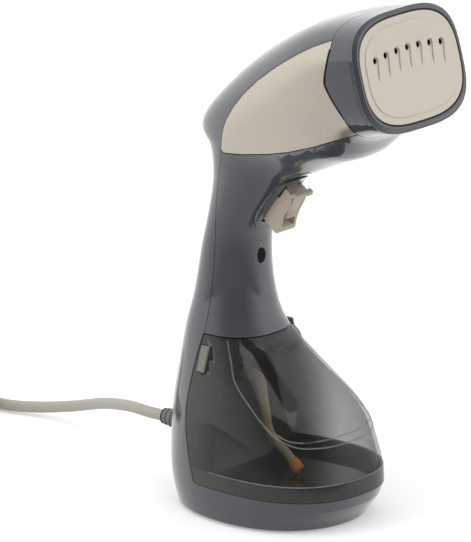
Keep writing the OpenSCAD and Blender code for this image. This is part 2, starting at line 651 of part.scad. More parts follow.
module tank_stopper() color(dark_grey) stopper_frame() {
    translate([0, 0, -4]) cylinder(h = 5, d = stopper_d - 2 * fit);
    translate([0, 0, fit]) cylinder(h = 2.4, d = stopper_d + 2 * stopper_rim);
    block([-stopper_d / 2 - stopper_rim - stopper_tab, 0], [-3.5, 3.5], [2, 3]);
}
module button_block(s, x, l, h) translate([0, button_y, button_z])
    block([min(s * x, s * far), max(s * x, s * far)], [-l / 2, l / 2], [-h / 2, h / 2]);
module release_button(s) color(grey) intersection() {
    body(-button_proud, 2 + 3 * fine, tank_end);
    button_block(s, button_back, button_l, button_h);
}
module release_button_right() release_button(-1);
module release_button_left() release_button(1);
module button_spring(s) color(metal) translate([s * (pocket_back + fit), button_y, button_z]) rotate([0, s * 90, 0])
    spring(button_back - pocket_back - 2 * fit, 4.4, 0.7, 3);
module button_spring_right() button_spring(-1);
module button_spring_left() button_spring(1);
cap_front = spout_y - tank_gap - tank_wall - 3.6;
cap_rear = spout_y - tank_gap - 1;
module tank_cap() color(dark_grey) translate([0, 0, spout_z]) {
    along_y(cap_front, cap_rear, cap_d, cap_d);
    along_y(cap_rear - 1, spout_y + 7, spout_d, spout_d);
    along_y(cap_front - 4, cap_front + 1, sleeve_d, sleeve_d);
}
module tank_cap_seal() color("black") translate([0, 0, spout_z]) difference() {
    along_y(cap_front + 1, cap_rear, cap_hole_d - 2 * fit, cap_hole_d - 2 * fit);
    along_y(cap_front, cap_rear + 1, cap_d + 2 * fit, cap_d + 2 * fit);
}
weight_lean = 41;
weight_h = 7;
weight_y = -12;
weight_z = base_h + tank_gap + tank_wall + 7.2;
module weight_frame() translate([0, weight_y, weight_z]) rotate([90 + weight_lean, 0, 0]) children();
module suction_tube() color(cream) {
    points = smooth([[0, cap_front - 4 - fit, spout_z], [0, 14.6, spout_z - 0.4], [0, 11.2, spout_z - 3.4], [0, 9.6, 62], [0, 7.6, 52],
        [0, 5, 43], [0, 0, 37], [0, -6.5, 33], [0, weight_y, weight_z]], 4);
    sweep(points, [for (i = [0:len(points) - 1]) i < 20 ? sleeve_d / 2 - 0.06 * i : tube_d / 2], 10, [1, 0, 0]);
}
module tube_weight() color([0.75, 0.5, 0.2]) weight_frame() difference() {
    translate([0, 0, fit]) cylinder(h = weight_h, d = weight_d);
    translate([0, 0, weight_h / 2]) cylinder(h = weight_h, d = 3);
}

// ---- Cord ----
relief_in = half_l - wall - 2.2;
relief_end = half_l + relief_l - 1;
module cord_relief() color(grey) translate([0, 0, cord_z]) difference() {
    union() {
        along_y(half_l - 3.4, relief_end, relief_root_d, relief_d);
        along_y(relief_in - 2, half_l - wall - 1.4, relief_root_d + 4, relief_root_d + 4);
        along_y(relief_in, half_l - 3, relief_root_d, relief_root_d);
    }
    along_y(relief_in - 3, relief_end - 3, 5, 5);
}
module cord_clamp() color(dark_grey) difference() {
    block([-9, 9], [relief_in - 7, relief_in - 2 - rest_gap], [cord_z - 9, cord_z + 5.6]);
    translate([0, 0, cord_z]) along_y(relief_in - 8, relief_in, cord_d + 1, cord_d + 1);
}
coil_x = 2;
coil_y = 276;
coil_low = 0.6;
coil_t = coil_rows * cord_d;
coil_out = coil_d / 2 + coil_t / 2;
cord_route = [[0, relief_end, cord_z], [0, 86, 36], [0, 92, 36], [1.1, 100, 36], [4.4, 109, 34.8], [11, 121, 31.8],
    [20.5, 136.5, 27.2], [30.5, 153, 21.8], [39, 170, 15.8], [43.6, 188, 10.2], [43.6, 210, 5.4], [38.6, 230, 3.8],
    [39.5, 246, 3.8], [43.2, 260, 3.8]];
module cord_run() color(cord_grey) tube(cord_route, cord_d, 3, [0, 0, 1], 10);
module cord_coil() color(cord_grey) translate([coil_x, coil_y, coil_low]) rotate_extrude($fn = 64)
    translate([(coil_d - coil_t) / 2, 0]) square([coil_t, coil_t]);
tie_t = 1.2;
tie_x = coil_x - coil_d / 2;
tie_in = coil_t / 2 + rest_gap;
tie_out = coil_t / 2 + tie_t;
module coil_tie() color(dark_grey) difference() {
    block([tie_x - tie_out, tie_x + tie_out], [coil_y - 3, coil_y + 3], [0.1, coil_low + coil_t + tie_t]);
    block([tie_x - tie_in, tie_x + tie_in], [coil_y - 4, coil_y + 4], [coil_low - rest_gap, coil_low + coil_t + rest_gap]);
}
plug_t = 22;
plug_l = 30;
plug_z = coil_low + coil_t + fit + plug_t / 2;
plug_x = coil_x + (coil_d - coil_t) / 2 + cord_d / 2;
module plug_frame() translate([plug_x, coil_y + coil_d / 2 - 13, plug_z]) rotate([0, 0, 90]) children();
module plug_body() color(cord_grey) plug_frame() {
    translate([-12, 0, 0]) rotate([0, 90, 0]) linear_extrude(plug_l) polygon(superellipse(plug_t, 36, 3, 48));
    translate([-28, 0, 0]) rotate([0, 90, 0]) cylinder(h = 16.5, d1 = 9, d2 = 17);
}
module plug_pins() color(metal) plug_frame() for (y = [-1, 1])
    translate([plug_l - 12 + fit, y * plug_pin_pitch / 2, 0]) rotate([0, 90, 0]) cylinder(h = plug_pin_l, d = plug_pin_d);

rear_cover();
front_casing();
side_panel_right();
side_panel_left();
head_collar();
front_ring();
plate_seal();
steam_plate();
steam_chamber();
chamber_lid();
heating_element();
thermostat();
thermal_fuse();
steam_pump();
pump_bracket();
pump_inlet_tube();
pump_outlet_tube();
tank_socket();
microswitch();
switch_plunger();
trigger_bracket();
trigger_pin();
trigger_spring();
trigger_bezel();
indicator_lens();
indicator_board();
base_plate();
rubber_feet();
casing_screws();
cord_relief();
cord_clamp();
trigger();
steam_lock();
tank_shell();
tank_cap();
tank_cap_seal();
tank_stopper();
suction_tube();
tube_weight();
release_button_right();
release_button_left();
button_spring_right();
button_spring_left();
cord_run();
cord_coil();
coil_tie();
plug_body();
plug_pins();
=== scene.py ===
"""Handheld garment steamer, dressed for a studio view.

The frame holds the steamer's solids at their real places. This file gives each visible solid a smooth
finished piece, adds the cord and the small details, and sets the stage. Lengths are in metres, except
where a comment says millimetres.
"""
import json
import math

import bmesh
import bpy
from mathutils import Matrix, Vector
from mathutils.bvhtree import BVHTree

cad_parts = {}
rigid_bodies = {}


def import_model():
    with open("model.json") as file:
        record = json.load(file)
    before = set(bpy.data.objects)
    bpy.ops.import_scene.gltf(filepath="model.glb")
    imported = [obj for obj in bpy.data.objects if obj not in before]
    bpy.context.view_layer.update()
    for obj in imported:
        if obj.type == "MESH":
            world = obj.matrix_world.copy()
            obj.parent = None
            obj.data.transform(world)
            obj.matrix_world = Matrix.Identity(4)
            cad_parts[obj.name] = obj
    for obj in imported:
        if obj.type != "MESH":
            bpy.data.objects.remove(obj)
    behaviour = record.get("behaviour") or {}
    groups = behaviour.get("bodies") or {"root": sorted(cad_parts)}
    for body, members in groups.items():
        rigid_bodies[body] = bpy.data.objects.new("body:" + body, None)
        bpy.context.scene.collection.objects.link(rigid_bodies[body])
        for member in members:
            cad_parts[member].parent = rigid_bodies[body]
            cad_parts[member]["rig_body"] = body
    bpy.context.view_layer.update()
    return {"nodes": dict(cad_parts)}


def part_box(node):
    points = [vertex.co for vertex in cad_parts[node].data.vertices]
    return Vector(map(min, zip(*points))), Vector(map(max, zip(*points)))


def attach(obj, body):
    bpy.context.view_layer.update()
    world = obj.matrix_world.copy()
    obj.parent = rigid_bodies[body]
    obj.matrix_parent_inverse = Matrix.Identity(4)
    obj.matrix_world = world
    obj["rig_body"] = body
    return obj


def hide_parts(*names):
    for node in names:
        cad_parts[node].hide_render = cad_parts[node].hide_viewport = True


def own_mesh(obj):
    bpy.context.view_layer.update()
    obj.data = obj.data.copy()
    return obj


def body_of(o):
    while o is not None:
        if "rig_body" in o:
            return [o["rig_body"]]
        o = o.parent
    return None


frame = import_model()

bl_info = {
    "name": "Garment steamer",
    "version": (1, 0, 0),
    "blender": (4, 5, 0),
    "location": "3D View > Sidebar > Steamer",
    "description": "Dresses the solids of a handheld garment steamer with finished pieces and materials",
    "category": "Object",
}


# ---- Sizes and colours ----

def length(name, about, value):
    """A length property in metres."""
    return bpy.props.FloatProperty(name=name, description=about, default=value, min=0,
                                   unit="LENGTH", precision=5)


def share(name, about, value):
    """A property between 0 and 1."""
    return bpy.props.FloatProperty(name=name, description=about, default=value, min=0, max=1,
                                   subtype="FACTOR")


def colour(name, about, value):
    """A linear colour property."""
    return bpy.props.FloatVectorProperty(name=name, description=about, default=value, size=3,
                                         min=0, max=1, subtype="COLOR")


class SteamerSizes(bpy.types.PropertyGroup):
    """Sizes of the pieces that the solids leave to this file."""

    edge: length("Moulded edge", "Rounding of the moulded pieces' edges", 0.0003)
    button_travel: length("Button travel", "How far a release button is pressed in", 0.002)
    soft_edge: length("Soft edge", "Rounding of the buttons, the plug and the tube's weight", 0.0006)
    cord_diameter: length("Cord diameter", "Diameter of the mains cord", 0.0064)
    cord_length: length("Cord length", "Length of the mains cord from the relief to the plug", 2.175)
    coil_diameter: length("Coil diameter", "Diameter of the coil at the middle of its turns", 0.070)
    coil_low: length("Coil foot", "Height of the coil's underside over the floor, for its tie", 0.0006)
    relief_root: length("Relief root", "Radius of the cord relief at the casing", 0.0070)
    relief_tip: length("Relief tip", "Radius of the cord relief where the cord leaves it", 0.0045)
    relief_rib: length("Relief rib", "Depth of the grooves between the relief's ribs", 0.0011)


class SteamerColours(bpy.types.PropertyGroup):
    """Colours and gloss of the finishes."""

    casing: colour("Casing", "Glossy slate grey moulding", (0.060, 0.064, 0.074))
    casing_roughness: share("Casing roughness", "Roughness of the casing's polish", 0.11)
    panel: colour("Panel", "Champagne paint of the side panels", (0.640, 0.580, 0.485))
    plate: colour("Plate", "Ceramic coat of the steam plate", (0.620, 0.565, 0.475))
    trigger: colour("Trigger", "Satin beige moulding of the trigger", (0.420, 0.362, 0.282))
    smoke: colour("Smoke", "Tint of the water tank", (0.030, 0.030, 0.027))
    smoke_density: share("Smoke density", "How much light each face of the tank stops", 0.25)
    silicone: colour("Silicone", "Suction tube in the tank", (0.520, 0.460, 0.310))
    amber: colour("Amber", "Weight on the suction tube", (0.900, 0.330, 0.050))
    # The rubber colour also paints the dark shadow lines in the casing's gaps.
    rubber: colour("Rubber", "Feet, seals and stopper", (0.018, 0.018, 0.019))
    cord: colour("Cord", "Warm grey cord and plug", (0.440, 0.415, 0.365))
    relief: colour("Relief", "Grey cord relief", (0.190, 0.184, 0.166))
    steel: colour("Steel", "Bright metal parts", (0.560, 0.560, 0.550))
    brass: colour("Brass", "Plated pins", (0.640, 0.520, 0.300))


# ---- Shader language ----

class Wave:
    """A shader socket that takes part in sums like a number."""

    def __init__(self, finish, socket):
        self.finish = finish
        self.socket = socket

    def _sum(self, operation, first, second):
        node = self.finish.node("ShaderNodeMath", {"operation": operation}, {0: first, 1: second})
        return Wave(self.finish, node.outputs[0])

    def __add__(self, other):
        return self._sum("ADD", self, other)

    def __sub__(self, other):
        return self._sum("SUBTRACT", self, other)

    def __rsub__(self, other):
        return self._sum("SUBTRACT", other, self)

    def __mul__(self, other):
        return self._sum("MULTIPLY", self, other)

    def __pow__(self, other):
        return self._sum("POWER", self, other)

    __radd__ = __add__

    def clear(self, low, high):
        """0 below low, 1 above high, and a smooth rise between them."""
        node = self.finish.node("ShaderNodeMapRange", {"interpolation_type": "SMOOTHSTEP"},
                                {"Value": self, "From Min": low, "From Max": high})
        return Wave(self.finish, node.outputs["Result"])


class Finish:
    """A node tree that is filled from the object's own coordinates."""

    def __init__(self, name, tree=None):
        if tree is None:
            self.material = bpy.data.materials.new(name)
            self.material.use_nodes = True
            tree = self.material.node_tree
        tree.nodes.clear()
        self.tree = tree

    def node(self, kind, settings=None, inputs=None):
        """A node of a kind, with its settings made first and its sockets filled after."""
        made = self.tree.nodes.new(kind)
        for key, value in (settings or {}).items():
            setattr(made, key, value)
        for key, value in (inputs or {}).items():
            socket = made.inputs[key]
            if isinstance(value, Wave):
                value = value.socket
            if isinstance(value, bpy.types.NodeSocket):
                self.tree.links.new(value, socket)
            elif socket.type == "RGBA":
                socket.default_value = (*value, 1)
            else:
                socket.default_value = value
        return made

    def place(self):
        """The point on the object, in metres."""
        return self.node("ShaderNodeTexCoord").outputs["Object"]

    def along(self, axis):
        """One coordinate of the point, in metres."""
        parts = self.node("ShaderNodeSeparateXYZ", inputs={0: self.place()})
        return Wave(self, parts.outputs[axis])

    def reach(self, vector, way):
        """How far a vector reaches along a direction."""
        made = self.node("ShaderNodeVectorMath", {"operation": "DOT_PRODUCT"}, {0: vector, 1: tuple(way)})
        return Wave(self, made.outputs["Value"])

    def noise(self, scale, detail=2.0, stretch=None):
        """Noise between 0 and 1, its grain 1 / scale metres across."""
        where = self.place()
        if stretch:
            where = self.node("ShaderNodeMapping", inputs={"Vector": where, "Scale": stretch}).outputs[0]
        made = self.node("ShaderNodeTexNoise", {"noise_dimensions": "3D"},
                         {"Vector": where, "Scale": scale, "Detail": detail})
        return Wave(self, made.outputs["Fac"])

    def tint(self, colour, tone):
        """A colour made lighter or darker by a value."""
        made = self.node("ShaderNodeVectorMath", {"operation": "SCALE"},
                         {0: tuple(colour), "Scale": tone})
        return made.outputs[0]

    def blend(self, factor, first, second):
        """The first colour where the factor is 0 and the second where it is 1."""
        made = self.node("ShaderNodeMix", {"data_type": "RGBA"}, {0: factor, 6: first, 7: second})
        return made.outputs[2]

    def bump(self, height, depth):
        """Normals raised by a height between 0 and 1, depth metres deep."""
        made = self.node("ShaderNodeBump", inputs={"Height": height, "Strength": 1.0, "Distance": depth})
        return made.outputs[0]

    def surface(self, inputs):
        """The principled surface of this material, joined to its output."""
        shader = self.node("ShaderNodeBsdfPrincipled", inputs=inputs)
        self.node("ShaderNodeOutputMaterial", inputs={"Surface": shader.outputs[0]})
        return shader


def moulded(name, colour, roughness, grain=1400, depth=0.000004, coat=0.0, sweep=0.05, gloss=0.5):
    """Moulded plastic: a slight broad change of tone, and a fine grain in its gloss and relief."""
    finish = Finish(name)
    fine = finish.noise(grain, 2)
    broad = finish.noise(22, 1)
    finish.surface({
        "Base Color": finish.tint(colour, 1 - sweep + broad * sweep * 2),
        "Roughness": (fine - 0.5) * 0.08 + (broad - 0.5) * 0.05 + roughness,
        "Specular IOR Level": gloss,
        "Coat Weight": coat,
        "Coat Roughness": 0.08,
        "Normal": finish.bump(fine, depth),
    })
    return finish.material


def painted(name, colour):
    """Champagne paint with fine flakes that glint, under a thin satin lacquer."""
    finish = Finish(name)
    flakes = finish.noise(5200, 1)
    broad = finish.noise(18, 1)
    tone = 0.95 + broad * 0.07 + flakes.clear(0.56, 0.74) * 0.10
    finish.surface({
        "Base Color": finish.tint(colour, tone),
        "Metallic": flakes.clear(0.45, 0.8) * 0.2 + 0.72,
        "Roughness": 0.27 + (flakes - 0.5) * 0.10,
        "Coat Weight": 0.3,
        "Coat Roughness": 0.14,
        "Normal": finish.bump(flakes, 0.000003),
    })
    return finish.material


def ceramic(name, colour, face=None, depth=0.0):
    """Glazed ceramic coat with a faint orange peel. With a face, given as a point and an outward
    direction, the holes' walls beyond the depth behind it are painted near black as shade in the holes."""
    finish = Finish(name)
    peel = finish.noise(420, 2)
    specks = finish.noise(2600, 2)
    glaze = finish.tint(colour, 0.97 + specks * 0.05)
    if face:
        point, out = face
        # Painted shade: past the depth behind the face the walls of the holes turn near black.
        ahead = finish.node("ShaderNodeVectorMath", {"operation": "SUBTRACT"},
                            {0: finish.place(), 1: tuple(point)})
        hole_shade = 1 - finish.reach(ahead.outputs[0], out).clear(-depth - 0.0002, -depth)
        glaze = finish.blend(hole_shade, glaze, (0.006, 0.006, 0.006))
    finish.surface({
        "Base Color": glaze,
        "Roughness": 0.22 + (peel - 0.5) * 0.08,
        "Coat Weight": 0.3,
        "Coat Roughness": 0.06,
        "Normal": finish.bump(peel, 0.000012),
    })
    return finish.material


def smoked(name, colour, density):
    """Clear plastic with a smoky tint: it stops more light where it is seen edge on, in the foot below
    the rim line and at the back."""
    finish = Finish(name)
    edge = Wave(finish, finish.node("ShaderNodeLayerWeight", inputs={"Blend": 0.35}).outputs["Facing"])
    haze = finish.noise(30, 1)
    floor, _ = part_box("tank_shell")
    foot = 1 - finish.along("Z").clear(floor.z + 0.0082, floor.z + RIM_HEIGHT)
    back = finish.along("Y").clear(-0.012, 0.022)
    finish.surface({
        "Base Color": finish.tint(colour, 0.9 + haze * 0.2),
        "Roughness": 0.05 + haze * 0.02,
        "Alpha": edge ** 2 * 0.5 + haze * 0.04 + foot * 0.60 + back * 0.50 + density,
        "Specular IOR Level": 0.9,
        "IOR": 1.5,
    })
    return finish.material


def milky(name, colour, density, roughness):
    """Soft see-through silicone or resin."""
    finish = Finish(name)
    cloud = finish.noise(260, 3)
    finish.surface({
        "Base Color": finish.tint(colour, 0.85 + cloud * 0.3),
        "Roughness": roughness + (cloud - 0.5) * 0.1,
        "Alpha": cloud * 0.1 + density,
        "Subsurface Weight": 0.15,
        "Subsurface Radius": (0.002, 0.0015, 0.001),
    })
    return finish.material


def metal(name, colour, roughness, brushed=(1, 1, 8)):
    """Bare metal with fine drawn marks."""
    finish = Finish(name)
    marks = finish.noise(900, 2, brushed)
    finish.surface({
        "Base Color": finish.tint(colour, 0.88 + marks * 0.22),
        "Metallic": 1.0,
        "Roughness": roughness + (marks - 0.5) * 0.14,
        "Normal": finish.bump(marks, 0.000004),
    })
    return finish.material


def rubbery(name, colour, roughness=0.62):
    """Matt rubber with a fine pore."""
    finish = Finish(name)
    pores = finish.noise(3000, 3)
    dust = finish.noise(60, 2)
    finish.surface({
        "Base Color": finish.tint(colour, 0.85 + pores * 0.2 + dust * 0.1),
        "Roughness": roughness + (pores - 0.5) * 0.16,
        "Normal": finish.bump(pores, 0.00002),
    })
    return finish.material


def board(name):
    """Green circuit board with solder dots."""
    finish = Finish(name)
    dots = finish.node("ShaderNodeTexVoronoi", inputs={"Vector": finish.place(), "Scale": 420.0})
    solder = 1 - Wave(finish, dots.outputs["Distance"]).clear(0.12, 0.2)
    finish.surface({
        "Base Color": finish.blend(solder, (0.010, 0.085, 0.030), (0.50, 0.50, 0.48)),
        "Metallic": solder * 0.9,
        "Roughness": 0.42 - solder * 0.12,
    })
    return finish.material


# How far the steam plate's face leans back, a point on the face with its outward direction, and how deep
# behind the face the walls of the holes begin to be painted near black, as painted shade in the holes.
PLATE_LEAN = math.radians(16)
PLATE_FACE = (Vector((0, -0.0940, 0.2645)), Vector((0, -math.cos(PLATE_LEAN), math.sin(PLATE_LEAN))))
HOLE_SHADE_DEPTH = 0.0008
MATERIALS = {}


def finish_of(name):
    """The named material of this object, made at its first use."""
    tone = bpy.context.scene.steamer_colours
    makers = {
        "casing_gloss": lambda: moulded(name, tone.casing, tone.casing_roughness, coat=1.0),
        "button_grey": lambda: moulded(name, tone.relief, 0.30, grain=900, depth=0.00001),
        "champagne_paint": lambda: painted(name, tone.panel),
        "ceramic_coat": lambda: ceramic(name, tone.plate, PLATE_FACE, HOLE_SHADE_DEPTH),
        "trigger_satin": lambda: moulded(name, tone.trigger, 0.34, grain=2400, depth=0.000006, coat=0.1),
        "lens_black": lambda: moulded(name, (0.002, 0.002, 0.002), 0.40, sweep=0.1, gloss=0.1),
        # Near-black metal for the steam chamber: painted shade, so the plate's holes look dark.
        "plated_black": lambda: metal(name, (0.030, 0.030, 0.031), 0.5, (1, 1, 1)),
        # Lighter than the tank's smoke: the tank's beads carry painted highlight lines.
        "smoke_bead": lambda: milky(name, (0.30, 0.30, 0.28), 0.42, 0.06),
        "smoked_clear": lambda: smoked(name, tone.smoke, tone.smoke_density),
        "silicone": lambda: milky(name, tone.silicone, 0.82, 0.30),
        "amber_resin": lambda: milky(name, tone.amber, 0.88, 0.22),
        "rubber_black": lambda: rubbery(name, tone.rubber),
        "stopper_grey": lambda: milky(name, (0.30, 0.30, 0.29), 0.85, 0.35),
        "cord_sheath": lambda: rubbery(name, tone.cord, 0.44),
        "relief_grey": lambda: rubbery(name, tone.relief, 0.40),
        "plug_moulding": lambda: moulded(name, tone.cord, 0.40, grain=2000, depth=0.00001),
        "nylon_white": lambda: moulded(name, (0.62, 0.61, 0.57), 0.45, grain=900),
        "mould_dark": lambda: moulded(name, (0.030, 0.031, 0.034), 0.48, grain=1800, depth=0.00001),
        "cast_metal": lambda: metal(name, (0.48, 0.48, 0.47), 0.42, (1, 1, 1)),
        "bright_steel": lambda: metal(name, tone.steel, 0.24),
        "plated_pin": lambda: metal(name, tone.brass, 0.20),
        "ceramic_white": lambda: ceramic(name, (0.72, 0.70, 0.64)),
        "circuit_board": lambda: board(name),
    }
    if name not in MATERIALS:
        MATERIALS[name] = makers[name]()
    return MATERIALS[name]


# ---- Mesh tools ----

# Corners nearer than this are one corner, in a solid and in a turned piece.
SOLID_WELD = 0.000004
TURNED_WELD = 0.000002
# Where rays towards the surfaces start, outside every piece.
OUTSIDE = 0.2


def link(name, mesh):
    """A new object of this mesh in the scene, at the origin."""
    made = bpy.data.objects.new(name, mesh)
    bpy.context.scene.collection.objects.link(made)
    return made


def shade(mesh, angle):
    """Smooth faces, with edges sharper than the angle kept crisp."""
    for face in mesh.polygons:
        face.use_smooth = True
    mesh.set_sharp_from_angle(angle=math.radians(angle))


def paint(piece, finish):
    """Gives a piece one material."""
    piece.data.materials.clear()
    piece.data.materials.append(finish_of(finish))


def round_edges(piece, width, angle):
    """Rounds the edges of a piece that turn by more than the angle."""
    made = piece.modifiers.new("edge", "BEVEL")
    made.width = width
    made.segments = 2
    made.limit_method = "ANGLE"
    made.angle_limit = math.radians(angle)
    made.use_clamp_overlap = True
    made.harden_normals = False


def body_name(node):
    """The body that a solid rides on."""
    return body_of(frame["nodes"][node])[0]


def form_of(node):
    """A solid's faces at their place in the scene."""
    source = frame["nodes"][node]
    form = bmesh.new()
    form.from_mesh(source.data)
    bmesh.ops.transform(form, matrix=source.matrix_world, verts=form.verts)
    return form


def mesh_of(name, form):
    """A mesh with the faces of this form, which is used up."""
    mesh = bpy.data.meshes.new(name + "_form")
    form.to_mesh(mesh)
    form.free()
    return mesh


def finished_copy(node, finish, angle=32, edge=0.0, dissolve=1.0):
    """A merged copy of a solid that stands for it, with flat faces joined and smooth shading."""
    form = form_of(node)
    bmesh.ops.remove_doubles(form, verts=form.verts, dist=SOLID_WELD)
    if dissolve:
        bmesh.ops.dissolve_limit(form, angle_limit=math.radians(dissolve), verts=form.verts,
                                 edges=form.edges)
    mesh = mesh_of(node, form)
    shade(mesh, angle)
    piece = link(node + "_piece", mesh)
    if edge:
        round_edges(piece, edge, angle)
    paint(piece, finish)
    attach(piece, body_name(node))
    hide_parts(node)
    return piece


def dress(node, finish):
    """Gives a solid that stays as it is a better material."""
    solid = frame["nodes"][node]
    for slot in solid.material_slots:
        slot.material = finish_of(finish)
    if not solid.material_slots:
        solid.data.materials.append(finish_of(finish))


def turned(name, profile, centre, axis, steps, finish, body):
    """A piece turned round an axis: profile gives (distance along the axis, radius) from end to end."""
    form = bmesh.new()
    axis = Vector(axis).normalized()
    out = axis.orthogonal().normalized()
    line = [form.verts.new(Vector(centre) + axis * along + out * radius) for along, radius in profile]
    rail = [form.edges.new(pair) for pair in zip(line, line[1:])]
    bmesh.ops.spin(form, geom=line + rail, cent=centre, axis=axis, angle=math.tau, steps=steps,
                   use_merge=True)
    bmesh.ops.remove_doubles(form, verts=form.verts, dist=TURNED_WELD)
    bmesh.ops.recalc_face_normals(form, faces=form.faces)
    mesh = mesh_of(name, form)
    shade(mesh, 40)
    piece = link(name, mesh)
    paint(piece, finish)
    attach(piece, body)
    return piece


def surface_of(node):
    """A search tree of a solid's faces, to find points on them."""
    form = form_of(node)
    tree = BVHTree.FromBMesh(form)
    form.free()
    return tree


def side_point(surface, sign, y, z):
    """The outermost point of a surface at this place, on the right (-1) or the left (1)."""
    return surface.ray_cast(Vector((sign * OUTSIDE, y, z)), Vector((-sign, 0, 0)))[0]


def round_line(name, line, radius, resolution):
    """A curve of round section through points."""
    data = bpy.data.curves.new(name + "_line", "CURVE")
    data.dimensions = "3D"
    spline = data.splines.new("POLY")
    spline.points.add(len(line) - 1)
    for point, place in zip(spline.points, line):
        point.co = (*place, 1)
    spline.use_smooth = True
    data.bevel_depth = radius
    data.bevel_resolution = resolution
    data.use_fill_caps = True
    return link(name, data)


def bead_along(name, line, radius, finish, body):
    """A thin line on a surface, kept within the casing's width: a moulded bead, or a dark line painted as
    shadow in a gap.
    """
    low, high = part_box("rear_cover")
    line = [Vector((min(max(place.x, low.x + radius), high.x - radius), place.y, place.z))
            for place in line]
    bead = round_line(name, line, radius, 3)
    paint(bead, finish)
    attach(bead, body)
    return bead


# ---- Cord ----

# The cord's way from the relief to the coil, in millimetres.
ROUTE = [(0, 80, 36), (0, 86, 36), (0, 92, 36), (1.1, 100, 36), (4.4, 109, 34.8), (11, 121, 31.8),
         (20.5, 136.5, 27.2), (30.5, 153, 21.8), (39, 170, 15.8), (43.6, 188, 10.2), (43.6, 210, 5.4),
         (38.6, 230, 3.8), (39.5, 246, 3.8), (43.2, 260, 3.8)]
COIL_CENTRE = Vector((0.002, 0.276, 0))
PLUG_ENTRY = Vector((0.0306, 0.2700, 0))
# How far the cord goes into the plug, the air between the coil and the plug, and the height of the entry
# over the plug's underside.
PLUG_BITE = 0.0005
PLUG_AIR = 0.00005
PLUG_RISE = 0.011
# Each turn's place, in cord widths outwards from the middle of the turns, and the turns in a layer.
TURNS = [1, 0, -1, -1, 0, 1, 1, 0, -1]
LAYER_TURNS = 3
# Degrees of every turn: where a change of layer starts, where it is done and a change of place starts,
# and where that is done.
LIFT_FROM, STEP_FROM, STEP_TO = 110, 230, 350
# Degrees of the last turn between which the cord rises to the plug.
RISE_FROM, RISE_TO = 190, 348
# Degrees from the route's end to the coil's first point, those in which it closes in, and those between
# two points.
COIL_LEAD, CLOSE_IN, TURN_STEP = 8, 50, 10


def ease(t):
    """0 to 1 with a smooth start and end."""
    t = min(max(t, 0), 1)
    return t * t * (3 - 2 * t)


def through(points, steps):
    """A smooth line through points."""
    ends = [points[0] * 2 - points[1], *points, points[-1] * 2 - points[-2]]
    line = []
    for a, b, c, d in zip(ends, ends[1:], ends[2:], ends[3:]):
        for k in range(steps):
            t = k / steps
            line.append(0.5 * (2 * b + (c - a) * t + (2 * a - 5 * b + 4 * c - d) * t * t
                               + (3 * b - a - 3 * c + d) * t ** 3))
    return line + [points[-1]]


def coil_line(sizes, start):
    """The coil's turns from the point where the cord reaches them: each turn steps over in the same
    stretch, a turn that changes layer rises just before it, and the last one rises to the plug."""
    pitch = sizes.cord_diameter
    mean = sizes.coil_diameter / 2
    low = sizes.coil_low + pitch / 2
    last = len(TURNS) - 1
    reach = start - COIL_CENTRE
    first = math.degrees(math.atan2(reach.y, reach.x))
    lead = Vector((reach.x, reach.y)).length
    rise_from, rise_to = RISE_FROM + 360 * last, RISE_TO + 360 * last
    plug_height = sizes.coil_low + LAYER_TURNS * pitch + PLUG_AIR + PLUG_RISE
    line = []
    angle = first + COIL_LEAD
    while angle < rise_to:
        turn = min(int((angle - STEP_TO) // 360) + 1, last)
        after = min(turn + 1, last)
        within = angle - 360 * turn
        step = ease((within - STEP_FROM) / (STEP_TO - STEP_FROM))
        lift = ease((within - LIFT_FROM) / (STEP_FROM - LIFT_FROM))
        layer, next_layer = turn // LAYER_TURNS, after // LAYER_TURNS
        radius = mean + pitch * (TURNS[turn] + (TURNS[after] - TURNS[turn]) * step)
        radius += (lead - mean - pitch) * (1 - ease((angle - first) / CLOSE_IN))
        height = low + pitch * (layer + (next_layer - layer) * lift)
        if angle > rise_from:
            radius = mean - pitch
            height += (plug_height - height) * ease((angle - rise_from) / (rise_to - rise_from))
        spot = math.radians(angle)
        line.append(Vector((COIL_CENTRE.x + radius * math.cos(spot),
                            COIL_CENTRE.y + radius * math.sin(spot), height)))
        angle += TURN_STEP
    line.append(Vector((PLUG_ENTRY.x, PLUG_ENTRY.y + PLUG_BITE, plug_height)))
    return line


class STEAMER_OT_cord(bpy.types.Operator):
    """Makes the mains cord with its coil, tie, relief and plug"""

    bl_idname = "steamer.cord"
    bl_label = "Cord and plug"

    def execute(self, context):
        sizes = context.scene.steamer_sizes
        route = [Vector(point) / 1000 for point in ROUTE]
        line = through(route, 4)
        line += coil_line(sizes, route[-1])
        cord = round_line("mains_cord", line, sizes.cord_diameter / 2, 5)
        paint(cord, "cord_sheath")
        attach(cord, "casing")
        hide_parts("cord_run", "cord_coil")
        tie = finished_copy("coil_tie", "mould_dark", edge=sizes.edge)
        plug = finished_copy("plug_body", "plug_moulding", angle=28, edge=sizes.soft_edge * 2)
        pins = finished_copy("plug_pins", "plated_pin", angle=40, edge=sizes.soft_edge)
        self.relief(sizes)
        return {"FINISHED"}

    def relief(self, sizes):
        """Turns the cord relief: a flange in the casing, a plain root and ribs that narrow to the tip."""
        low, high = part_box("cord_relief")
        axis = (low + high) / 2
        bore, flange, flange_end = 0.0032, 0.0088, low.y + 0.0016
        root, ribs = 0.0610, 5
        span = (high.y - root) / ribs
        profile = [(low.y, bore), (low.y, flange), (flange_end, flange), (flange_end, sizes.relief_root),
                   (root, sizes.relief_root)]
        for k in range(ribs):
            rib = sizes.relief_root + (sizes.relief_tip - sizes.relief_root) * (k + 0.5) / ribs
            groove = rib - sizes.relief_rib
            start = root + (high.y - root) * k / ribs
            profile += [(start + span * 0.08, rib), (start + span * 0.50, rib),
                        (start + span * 0.60, groove), (start + span * 0.98, groove)]
        profile += [(high.y - 0.0002, sizes.relief_tip), (high.y, sizes.relief_tip - 0.0003),
                    (high.y, bore)]
        piece = turned("cord_relief_piece", profile, (axis.x, 0, axis.z), (0, 1, 0), 40,
                       "relief_grey", "casing")
        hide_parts("cord_relief")
